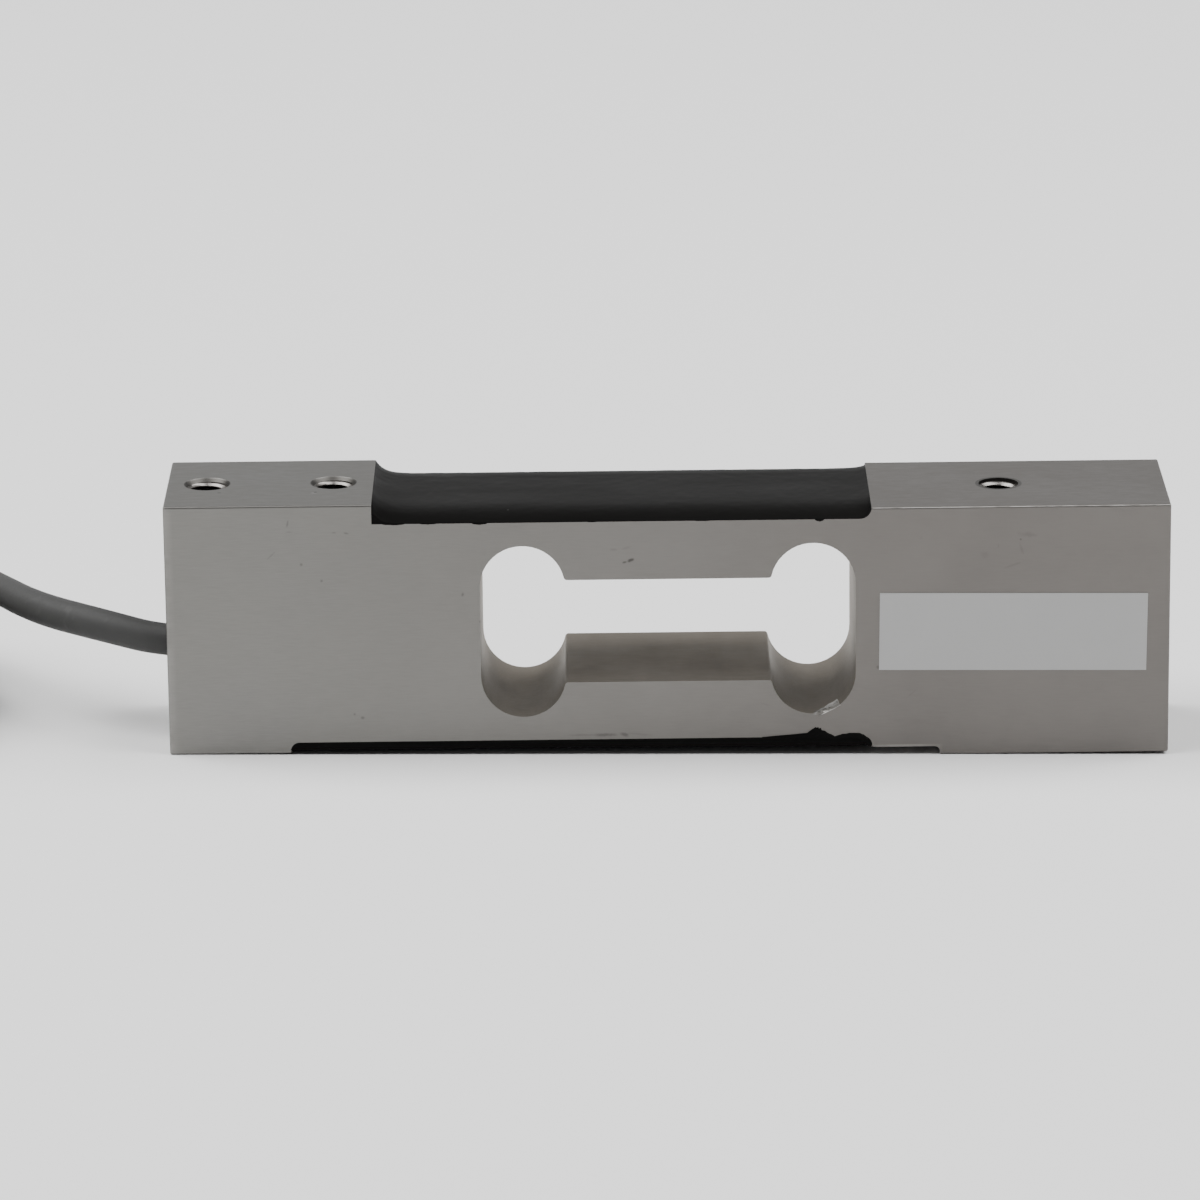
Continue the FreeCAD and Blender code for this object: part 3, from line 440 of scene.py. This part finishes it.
def coil_points():
    """Three turns down the outside of the coil, one step inwards on the surface,
    and three turns up the inside: each turn drops or climbs by one diameter."""
    low, mid, high = 2.52, 7.46, 12.4
    steps = [(340.0, 430.0, mid - high), (700.0, 790.0, low - mid),
             (1330.0, 1410.0, mid - low), (1690.0, 1770.0, high - mid)]
    pts = []
    a = 105.0
    while a < 1912.0:
        z = high + sum(d * smooth((a - p) / (q - p)) for p, q, d in steps)
        rad = 27.5 - 5.0 * smooth((a - 1010.0) / 70.0)
        pts.append(on_coil(rad / 0.966, a, z))
        a += 30.0
    return pts


route = ROUTE_IN + coil_points() + ROUTE_OUT
curve = bpy.data.curves.new("signal_cable", "CURVE")
curve.dimensions = "3D"
curve.bevel_depth = 1.0
curve.bevel_resolution = 8
curve.resolution_u = 10
curve.use_fill_caps = True
sp = curve.splines.new("NURBS")
sp.points.add(len(route) - 1)
for p, q in zip(sp.points, route):
    p.co = (q[0] * MM, q[1] * MM, q[2] * MM, 1.0)
    p.radius = 2.5 * MM
sp.order_u = 3
sp.use_endpoint_u = True
for i, swell in ((0, 0.95), (1, 0.96), (2, 1.0), (3, 1.0), (4, 0.95)):
    sp.points[i].radius = 2.5 * MM * swell
cable = bpy.data.objects.new("signal_cable", curve)
scene.collection.objects.link(cable)
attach(cable, "root")
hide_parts("cable", "cable_coil", "cable_tail")
cable.data.materials.append(MAT_JACKET)


# ------------------------------------------------------------------ silicone
W = 12.5
POT_L, POT_R, FLOOR_Z, TOP_Z = -44.0, 30.4, 37.0, 38.7


def under_top(x):
    """The milled recess that the top potting lies in, at x."""
    return FLOOR_Z if x <= 28.7 else 38.7 - math.sqrt(max(0.0, 1.7 ** 2 - (x - 28.7) ** 2))


def skin_top(x, y):
    d = W - abs(y)
    l, r = x - POT_L, POT_R - x
    crest = 1.13 + 1.80 * math.exp(-l / 1.75) + 0.56 * math.exp(-r / 1.25) + 0.045 * wob(x * 0.09, y * 0.12, 0.0, 1)
    if y < 0:
        rim = 0.10 + 1.6 * math.exp(-((l / 1.3) ** 1.5)) + 0.03 * wob(x * 0.5, 0.0, 0.0, 2)
        reach, power = 8.3 + 0.5 * wob(x * 0.13, 0.0, 0.0, 4), 2.8
    else:
        rim = 0.80 + 2.10 * math.exp(-l / 1.3) + 0.45 * math.exp(-r / 1.25) + 0.03 * wob(x * 0.5, 0.0, 0.0, 3)
        reach, power = 3.4 + 0.3 * wob(x * 0.13, 0.0, 0.0, 5), 2.0
    s = 1.0 - (1.0 - min(1.0, d / reach)) ** power
    z = FLOOR_Z + rim + (crest - rim) * s + 0.018 * wob(x * 0.8, y * 0.8, 0.0, 6)
    return max(min(z, 39.96 if x < -40.0 else 38.68), under_top(x) + 0.02)


def spaced(a, b, n, ends):
    """n + 1 values from a to b, closer together near both ends."""
    out = []
    for i in range(n + 1):
        t = i / n
        out.append(a + (b - a) * (t - ends * math.sin(2 * math.pi * t) / (2 * math.pi)))
    return out


def slab(xs, ys, low, high):
    """A closed mesh between two height fields."""
    nx, ny = len(xs), len(ys)
    verts = [(x, y, high(x, y)) for x in xs for y in ys] + [(x, y, low(x, y)) for x in xs for y in ys]
    n = nx * ny
    faces = []
    for i in range(nx - 1):
        for j in range(ny - 1):
            a, b, c, d = i * ny + j, (i + 1) * ny + j, (i + 1) * ny + j + 1, i * ny + j + 1
            faces.append((a, b, c, d))
            faces.append((n + d, n + c, n + b, n + a))
    for i in range(nx - 1):
        for j, flip in ((0, False), (ny - 1, True)):
            a, b = i * ny + j, (i + 1) * ny + j
            f = (a, n + a, n + b, b)
            faces.append(f[::-1] if flip else f)
    for j in range(ny - 1):
        for i, flip in ((0, True), (nx - 1, False)):
            a, b = i * ny + j, i * ny + j + 1
            f = (a, n + a, n + b, b)
            faces.append(f[::-1] if flip else f)
    return verts, faces


xs = spaced(POT_L + 0.005, POT_R - 0.02, 230, 0.75)
ys = spaced(-W, W, 70, 0.7)
v, f = slab(xs, ys, lambda x, y: under_top(x), skin_top)
top_skin = mesh_piece("potting_top_skin", v, f, MAT_SILICONE, sharp=50)
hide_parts("potting_top")

BOT_L, BOT_R, ROOF_Z, RB = -56.8, 30.5, 3.0, 1.3


def over_bottom(x):
    """The milled recess that the bottom potting fills, at x."""
    for centre in (BOT_L + RB, BOT_R - RB):
        away = (centre - x) if centre < 0 else (x - centre)
        if away > 0:
            return ROOF_Z - RB + math.sqrt(max(0.0, RB ** 2 - away ** 2))
    return ROOF_Z


def skin_bottom(x, y):
    d = W - abs(y)
    s = 1.0 - (1.0 - min(1.0, d / 1.6)) ** 2.2
    sag = 0.30 * smooth((x + 20.0) / 40.0) * (1.0 - smooth((x - 27.0) / 4.0))
    deep = 1.62 - 0.06 * wob(x * 0.1, y * 0.14, 0.0, 7) - sag
    rim = 1.80 - sag * 0.6 + 0.05 * wob(x * 0.45, 0.0, 0.0, 8 if y < 0 else 9)
    z = rim + (deep - rim) * s + 0.02 * wob(x * 0.7, y * 0.7, 0.0, 10)
    return min(max(z, rest_z(x) + 0.12), over_bottom(x) - 0.02)


xs = spaced(BOT_L + 0.01, BOT_R - 0.01, 230, 0.7)
ys = spaced(-W, W, 60, 0.7)
v, f = slab(xs, ys, skin_bottom, lambda x, y: over_bottom(x))
bottom_skin = mesh_piece("potting_bottom_skin", v, f, MAT_SILICONE, sharp=50)
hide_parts("potting_bottom")


def refine(points, steps, rough, seed):
    """A closed outline with its sides divided and made slightly uneven."""
    out = []
    n = len(points)
    for i, p in enumerate(points):
        q = points[(i + 1) % n]
        for k in range(steps):
            t = k / steps
            x, z = p[0] + (q[0] - p[0]) * t, p[1] + (q[1] - p[1]) * t
            out.append((x + rough * wob(x * 3.7, z * 3.7, 0.0, seed), z + rough * wob(x * 3.7, z * 3.7, 5.0, seed)))
    return out


def patch(outline, thick, side=-1.0, rings=4):
    """A thin domed film on the front (side -1) or back face, its rim feathered."""
    cx = sum(p[0] for p in outline) / len(outline)
    cz = sum(p[1] for p in outline) / len(outline)
    verts, faces = [], []
    n = len(outline)
    for k in range(rings + 1):
        t = 1.0 - k / (rings + 1.0)
        h = thick * math.sqrt(max(0.0, 1.0 - t ** 3))
        for x, z in outline:
            verts.append((cx + (x - cx) * t, side * (W - 0.01 + h), cz + (z - cz) * t))
    verts.append((cx, side * (W - 0.01 + thick), cz))
    for k in range(rings):
        for i in range(n):
            j = (i + 1) % n
            faces.append((k * n + i, k * n + j, (k + 1) * n + j, (k + 1) * n + i))
    base = rings * n
    for i in range(n):
        faces.append((base + i, base + (i + 1) % n, len(verts) - 1))
    # closed at the back, inside the face it lies on
    m0 = len(verts)
    for x, z in outline:
        verts.append((x, side * (W - 0.06), z))
    for i in range(n):
        j = (i + 1) % n
        faces.append((m0 + i, m0 + j, j, i))
    faces.append(tuple(range(m0 + n - 1, m0 - 1, -1)))
    return verts, faces


def joined(blocks):
    verts, faces = [], []
    for v, f in blocks:
        k = len(verts)
        verts += v
        faces += [tuple(i + k for i in t) for t in f]
    return verts, faces


def blob(x0, x1, z0, up, down, seed):
    """The outline of an overflow along an edge at height z0, uneven on its free side."""
    n = 18
    top, low = [], []
    for i in range(n + 1):
        t = i / n
        x = x0 + (x1 - x0) * t
        e = math.sqrt(math.sin(math.pi * t)) if 0 < t < 1 else 0.0
        top.append((x, z0 + up * e))
        low.append((x, z0 - down * e * (0.7 + 0.5 * abs(wob(x * 2.9, 0, 0, seed)))))
    return top + low[-2:0:-1]


smear_peak = [
    (13.66, 3.02), (15.6, 3.05), (17.0, 3.10), (17.9, 3.28), (18.15, 3.12), (19.0, 3.20), (19.4, 3.46), (19.7, 3.28),
    (20.4, 3.40), (20.9, 3.50), (21.0, 3.82), (21.2, 3.62), (21.35, 4.06), (21.6, 3.84), (21.65, 4.34), (21.95, 4.10),
    (22.05, 4.56), (22.3, 4.40), (22.5, 4.58), (22.6, 4.22), (22.9, 4.44), (23.05, 4.02), (23.5, 3.98), (24.01, 3.58),
    (24.5, 3.38), (24.97, 3.10), (24.9, 2.75), (19.0, 2.75), (14.0, 2.8)]
smear_hump = [
    (24.2, 3.02), (24.97, 3.12), (25.92, 3.42), (27.08, 3.57), (28.61, 3.56), (29.3, 3.30), (29.70, 2.98),
    (30.14, 2.46), (30.50, 1.85), (30.66, 1.42), (30.2, 1.36), (29.6, 2.2), (28.6, 2.7), (26.5, 2.8), (24.6, 2.8)]
films = [patch(refine(smear_peak, 2, 0.05, 21), 0.07), patch(refine(smear_hump, 4, 0.05, 22), 0.07)]
for x0, x1, up, down, seed in ((-42.6, -38.9, 0.05, 0.22, 31), (-37.0, -34.2, 0.05, 0.15, 32),
                               (-29.2, -26.6, 0.05, 0.30, 33), (-12.0, -10.4, 0.04, 0.10, 34),
                               (4.0, 6.6, 0.04, 0.10, 35), (21.9, 23.4, 0.04, 0.42, 36)):
    films.append(patch(blob(x0, x1, 37.02, up, down, seed), 0.05))
for x0, x1, up, down, seed in ((-30.0, -24.0, 0.05, 0.4, 41), (2.0, 9.0, 0.05, 0.3, 42), (16.0, 19.0, 0.05, 0.5, 43)):
    films.append(patch(blob(x0, x1, 37.02, up, down, seed), 0.05, side=1.0))
v, f = joined(films)
mesh_piece("silicone_overflow", v, f, MAT_SILICONE, sharp=60)


# ------------------------------------------------------------------- threads
def thread(cx, z_top, z_low, lead_top=True, pitch=1.0, major=3.0, depth=0.46, around=48, per=8):
    """The wall of a threaded hole: rounded V ridges on a helix, faded in at the mouth."""
    rows = int((z_top - z_low) / pitch * per)
    verts, faces = [], []
    for i in range(rows + 1):
        z = z_top - (z_top - z_low) * i / rows
        for j in range(around):
            a = 2 * math.pi * j / around
            ph = ((z_top - z) / pitch + j / around + 0.7) % 1.0
            ridge = 1.0 - abs(2.0 * ph - 1.0)
            ridge = min(1.0, max(0.0, (ridge - 0.1) / 0.72))
            fade = min(1.0, (z_top - z) / 0.4)
            if not lead_top:
                fade = min(fade, (z - z_low) / 0.4)
            r = major - 0.012 - depth * ridge * max(0.0, fade)
            verts.append((cx + r * math.cos(a), r * math.sin(a), z))
    for i in range(rows):
        for j in range(around):
            k = (j + 1) % around
            faces.append((i * around + j, (i + 1) * around + j, (i + 1) * around + k, i * around + k))
    # the outside of the sleeve, just in the metal, so that the piece is closed
    n = len(verts)
    for z in (z_top, z_low):
        for j in range(around):
            a = 2 * math.pi * j / around
            verts.append((cx + (major + 0.03) * math.cos(a), (major + 0.03) * math.sin(a), z))
    last = rows * around
    for j in range(around):
        k = (j + 1) % around
        faces.append((n + j, n + k, n + around + k, n + around + j))
        faces.append((j, k, n + k, n + j))
        faces.append((last + k, last + j, n + around + j, n + around + k))
    return verts, faces


v, f = thread(-69.0, 39.5, 22.2)
MAT_LEFT = thread_metal("cut_thread_left", [(0.0395, -1.0)])
mesh_piece("thread_top_outer", v, f, MAT_LEFT, sharp=40)
v, f = thread(-50.0, 39.5, 22.2)
mesh_piece("thread_top_inner", v, f, MAT_LEFT, sharp=40)
v, f = thread(50.0, 38.2, 0.5, lead_top=False, per=7)
mesh_piece("thread_through", v, f, thread_metal("cut_thread_through", [(0.0382, -1.0), (0.0005, 1.0)]), sharp=40)
v, f = thread(69.0, 17.8, 0.5, lead_top=False)
mesh_piece("thread_bottom_outer", v, f, thread_metal("cut_thread_below", [(0.0005, 1.0)]), sharp=40)


# ---------------------------------------------------------------------- nick
def chipped():
    """Bruised metal on the lower front edge of the right bore: small torn facets,
    from the face inwards along the bore, widest at the right-hand end."""
    verts, faces = [], []
    na, nd = 34, 22
    for side in (0, 1):
        for i in range(na + 1):
            ta = i / na
            ang = math.radians(-91.0 + 40.0 * ta)
            reach = 0.3 + 3.3 * (1.0 - (1.0 - min(1.0, ta / 0.75)) ** 1.5) * smooth((1.0 - ta) / 0.09)
            reach *= 1.0 + 0.16 * wob(ta * 7, 0, 0, 51)
            lip = 0.03 + 0.30 * math.exp(-((ta - 0.26) / 0.16) ** 2)
            for j in range(nd + 1):
                t = j / nd
                y = -W - 0.05 + reach * t
                lump = 0.16 + 0.17 * wob(ta * 8, t * 4, 0, 52) + 0.13 * wob(ta * 21, t * 11, 0, 53)
                lump *= min(1.0, ta * 9.0, (1.0 - ta) * 12.0) * (1.0 - t) ** 0.5 * (0.1 + 0.9 * min(1.0, t / 0.16))
                torn = lip * (1.0 + 0.5 * wob(ta * 15, 0, 0, 54)) * max(0.0, 1.0 - t * reach / 0.5) ** 2
                r = 6.35 - lump + torn if side == 0 else 6.37 + 0.26 * min(1.0, 4.0 * t) + torn
                verts.append((21.7 + r * math.cos(ang), y, 13.0 + r * math.sin(ang)))
    w = nd + 1
    n = (na + 1) * w
    for i in range(na):
        for j in range(nd):
            a, b, c, d = i * w + j, (i + 1) * w + j, (i + 1) * w + j + 1, i * w + j + 1
            faces.append((a, b, c, d))
            faces.append((n + d, n + c, n + b, n + a))
    for i in range(na):
        for j in (0, nd):
            a, b = i * w + j, (i + 1) * w + j
            faces.append((a, n + a, n + b, b))
    for j in range(nd):
        for i in (0, na):
            a, b = i * w + j, i * w + j + 1
            faces.append((a, n + a, n + b, b))
    return verts, faces


def torn_metal():
    m = Nodes("torn_metal")
    n = m.noise(m.coords(), 1300.0, 5.0, 0.7, 0.6)
    sep = m.add("ShaderNodeSeparateXYZ")
    m.link(m.coords(), sep.inputs[0])
    low = m.span(m.math("ADD", sep.outputs[0], m.span(n, 0.3, 0.7, -0.0009, 0.0009)), 0.0222, 0.0236, 0.8, 0.0)
    col = m.ramp(n, [(0.34, (0.24, 0.232, 0.22)), (0.5, (0.42, 0.41, 0.39)), (0.66, (0.62, 0.61, 0.59))])
    m.to("Base Color", m.mix(low, col, (0.13, 0.125, 0.117)))
    m.set(Metallic=1.0)
    m.to("Roughness", m.span(n, 0.3, 0.7, 0.30, 0.5))
    m.to("Normal", m.bump(n, 0.5, 0.00012))
    return m.mat


v, f = chipped()
mesh_piece("bore_nick", v, f, torn_metal(), sharp=18)


# ---------------------------------------------------------- stripped lead ends
def strand_bundle(lo, hi):
    """Five wires laid round each other between two corners of a box's long line."""
    a, b = Vector(lo), Vector(hi)
    aim = (b - a).normalized()
    side = aim.cross(Vector((0, 0, 1))).normalized()
    up_ = side.cross(aim).normalized()
    blocks = []
    for s in range(6):
        verts, faces = [], []
        rings, around = 28, 8
        for i in range(rings + 1):
            t = i / rings
            ph = 2 * math.pi * (t * 1.4 + s / 6.0)
            rr = 0.225 if s else 0.0
            c = a + (b - a) * t + side * (rr * math.cos(ph)) + up_ * (rr * math.sin(ph))
            w = 0.112
            for j in range(around):
                q = 2 * math.pi * j / around
                p = c + side * (w * math.cos(q)) + up_ * (w * math.sin(q))
                verts.append(tuple(p))
        for i in range(rings):
            for j in range(around):
                k = (j + 1) % around
                faces.append((i * around + j, i * around + k, (i + 1) * around + k, (i + 1) * around + j))
        faces.append(tuple(range(around - 1, -1, -1)))
        faces.append(tuple(rings * around + j for j in range(around)))
        blocks.append((verts, faces))
    return joined(blocks)


def quiet(name, a, b, rough, scale=500.0, metal=0.0):
    return plain(name, a, b, rough, scale, metal, 0.15, 0.00005)


MAT_TIN = quiet("tinned_copper", (0.50, 0.49, 0.46), (0.66, 0.65, 0.62), 0.32, 1500.0, 1.0)
v, f = joined([strand_bundle(a, b) for a, b in TIP_ENDS])
strands = mesh_piece("tinned_strands", v, f, MAT_TIN, sharp=40)
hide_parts("tinned_tips")

# ------------------------------------------------ finishes of the CAD's pieces
MAT_BOARD = quiet("board_green", (0.02, 0.12, 0.045), (0.03, 0.17, 0.06), 0.42)
MAT_GAUGE = quiet("gauge_film", (0.42, 0.24, 0.06), (0.55, 0.34, 0.09), 0.35, 900.0)
MAT_CHIP = quiet("chip_ceramic", (0.018, 0.018, 0.018), (0.03, 0.03, 0.03), 0.4)
MAT_RED = quiet("lead_red_pvc", (0.40, 0.018, 0.016), (0.48, 0.028, 0.024), 0.38)
MAT_BLACK = quiet("lead_black_pvc", (0.016, 0.016, 0.016), (0.026, 0.026, 0.026), 0.38)
MAT_GREEN = quiet("lead_green_pvc", (0.015, 0.20, 0.05), (0.025, 0.27, 0.07), 0.38)
MAT_WHITE = quiet("lead_white_pvc", (0.70, 0.70, 0.67), (0.78, 0.78, 0.75), 0.4)
MAT_YELLOW = quiet("lead_shield_pvc", (0.55, 0.46, 0.12), (0.63, 0.54, 0.18), 0.4)
MAT_SLEEVE = quiet("shrink_tube", (0.018, 0.018, 0.019), (0.032, 0.032, 0.033), 0.45, 700.0)
FINISH = {
    "beam_body": MAT_METAL, "label": MAT_FOIL, "cable_seal": MAT_SILICONE, "lead_sleeve": MAT_SLEEVE,
    "bridge_board": MAT_BOARD, "terminal_board_bottom": MAT_BOARD,
    "zero_trim_resistor": MAT_CHIP, "span_trim_resistor": MAT_CHIP,
    "core_red": MAT_RED, "core_black": MAT_BLACK, "core_green": MAT_GREEN, "core_white": MAT_WHITE,
    "cross_wire_supply": MAT_RED, "cross_wire_signal": MAT_GREEN, "cross_wire_return": MAT_BLACK,
    "lead_red": MAT_RED, "lead_black": MAT_BLACK, "lead_green": MAT_GREEN, "lead_white": MAT_WHITE,
    "lead_shield": MAT_YELLOW,
}
for name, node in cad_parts.items():
    mat = FINISH.get(name)
    if mat is None:
        mat = MAT_GAUGE if name.startswith("gauge_top") or name.startswith("gauge_bottom") else MAT_TIN
        if name in ("cable", "cable_tail", "cable_coil"):
            mat = MAT_JACKET
        if name.startswith("potting"):
            mat = MAT_SILICONE
    node.data.materials.clear()
    node.data.materials.append(mat)

# -------------------------------------------------------------------- stage
floor_mesh = bpy.data.meshes.new("floor")
s = 8.0
floor_mesh.from_pydata([(x, y, (rest_z(x / MM) - 0.01) * MM) for x, y in ((-s, -s), (s, -s), (s, s), (-s, s))], [], [(0, 1, 2, 3)])
floor = bpy.data.objects.new("floor", floor_mesh)
scene.collection.objects.link(floor)
floor.data.materials.append(plain("floor", (0.93, 0.93, 0.93), (0.945, 0.945, 0.945), 0.9, scale=3.0, bump=0.0))

world = bpy.data.worlds.new("world")
scene.world = world
world.use_nodes = True
wt = world.node_tree
bg = wt.nodes["Background"]
wc = wt.nodes.new("ShaderNodeTexCoord")
ws = wt.nodes.new("ShaderNodeSeparateXYZ")
wm = wt.nodes.new("ShaderNodeMapRange")
wm.interpolation_type = "SMOOTHSTEP"
wt.links.new(wc.outputs["Generated"], ws.inputs[0])
wt.links.new(ws.outputs["Y"], wm.inputs["Value"])
for k, val in (("From Min", 0.80), ("From Max", 0.985), ("To Min", WORLD_FRONT), ("To Max", WORLD_BACK)):
    wm.inputs[k].default_value = val
wt.links.new(wm.outputs["Result"], bg.inputs["Strength"])
bg.inputs[0].default_value = (1.0, 1.0, 1.0, 1.0)


def area(name, at, aim, size, power, size_y=None):
    d = bpy.data.lights.new(name, "AREA")
    d.shape = "RECTANGLE"
    d.size = size
    d.size_y = size_y or size
    d.energy = power
    o = bpy.data.objects.new(name, d)
    scene.collection.objects.link(o)
    o.location = at
    o.rotation_euler = (Vector(aim) - Vector(at)).to_track_quat("-Z", "Y").to_euler()
    return o


area("left", (-1.0, 0.05, 1.6), (0.0, 0.05, 0.0), 1.5, LEFT_POWER)
area("right", (1.0, 0.05, 1.6), (0.0, 0.05, 0.0), 1.5, RIGHT_POWER)

bpy.context.view_layer.update()
